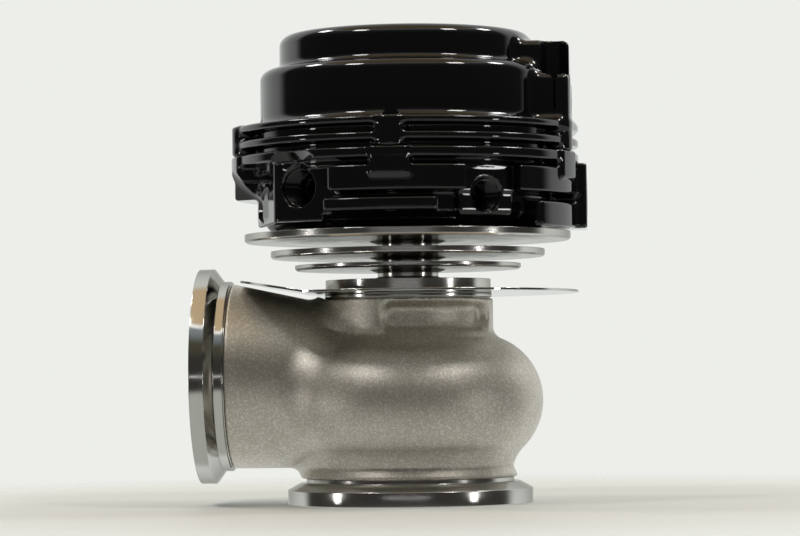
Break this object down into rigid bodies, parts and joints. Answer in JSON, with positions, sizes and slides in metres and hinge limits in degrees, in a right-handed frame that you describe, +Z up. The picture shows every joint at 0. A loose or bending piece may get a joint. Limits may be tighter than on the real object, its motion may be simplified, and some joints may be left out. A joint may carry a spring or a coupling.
{
  "type": "turbo wastegate",
  "caption": "External turbo wastegate with a cast valve body, V-band flanges, a finned bonnet and a water-cooled diaphragm actuator.",
  "frame": {"origin": "centre of the lower face of the inlet V-band flange, on the valve stem's axis", "axes": "+Z up the valve stem, from the inlet to the actuator's cap; the outlet points along -X"},
  "size_m": [0.1048, 0.094, 0.1261],
  "materials": {
    "cast_stainless": "bead blasted casting",
    "polished_stainless": "turned and polished",
    "polished_sheet": "mirror polished sheet",
    "guide_bronze": "reamed",
    "graphite_seal": "pressed graphite",
    "black_anodised": "polished and anodised black",
    "seal_rubber": "moulded",
    "diaphragm_cloth": "coated cloth",
    "piston_aluminium": "turned",
    "spring_wire": "drawn wire",
    "screw_steel": "black oxide"
  },
  "bodies": {
    "wastegate_body": {"valve_housing": "cast_stainless", "valve_seat": "polished_stainless", "heat_shield": "polished_sheet", "finned_bonnet": "polished_stainless", "valve_guide": "guide_bronze", "stem_seal": "graphite_seal", "seal_retainer": "polished_stainless", "jacket_cover": "black_anodised", "jacket_seal_inner": "seal_rubber", "jacket_seal_outer": "seal_rubber", "actuator_housing": "black_anodised", "bonnet_lock_ring": "polished_stainless", "diaphragm": "diaphragm_cloth", "outer_spring": "spring_wire", "inner_spring": "spring_wire", "top_cap": "black_anodised", "cap_screws": "screw_steel"},
    "valve_group": {"valve": "polished_stainless", "lower_piston": "piston_aluminium", "upper_piston": "piston_aluminium", "piston_washer": "screw_steel", "piston_nut": "screw_steel"}
  },
  "joints": [
    {"name": "valve_lift", "type": "slide", "parent": "wastegate_body", "child": "valve_group", "axis": [0, 0, 1], "range_m": [0, 0.01], "stiffness_N_per_m": 4000, "springref_m": -0.01, "deforming": ["outer_spring", "inner_spring", "diaphragm"]}
  ]
}
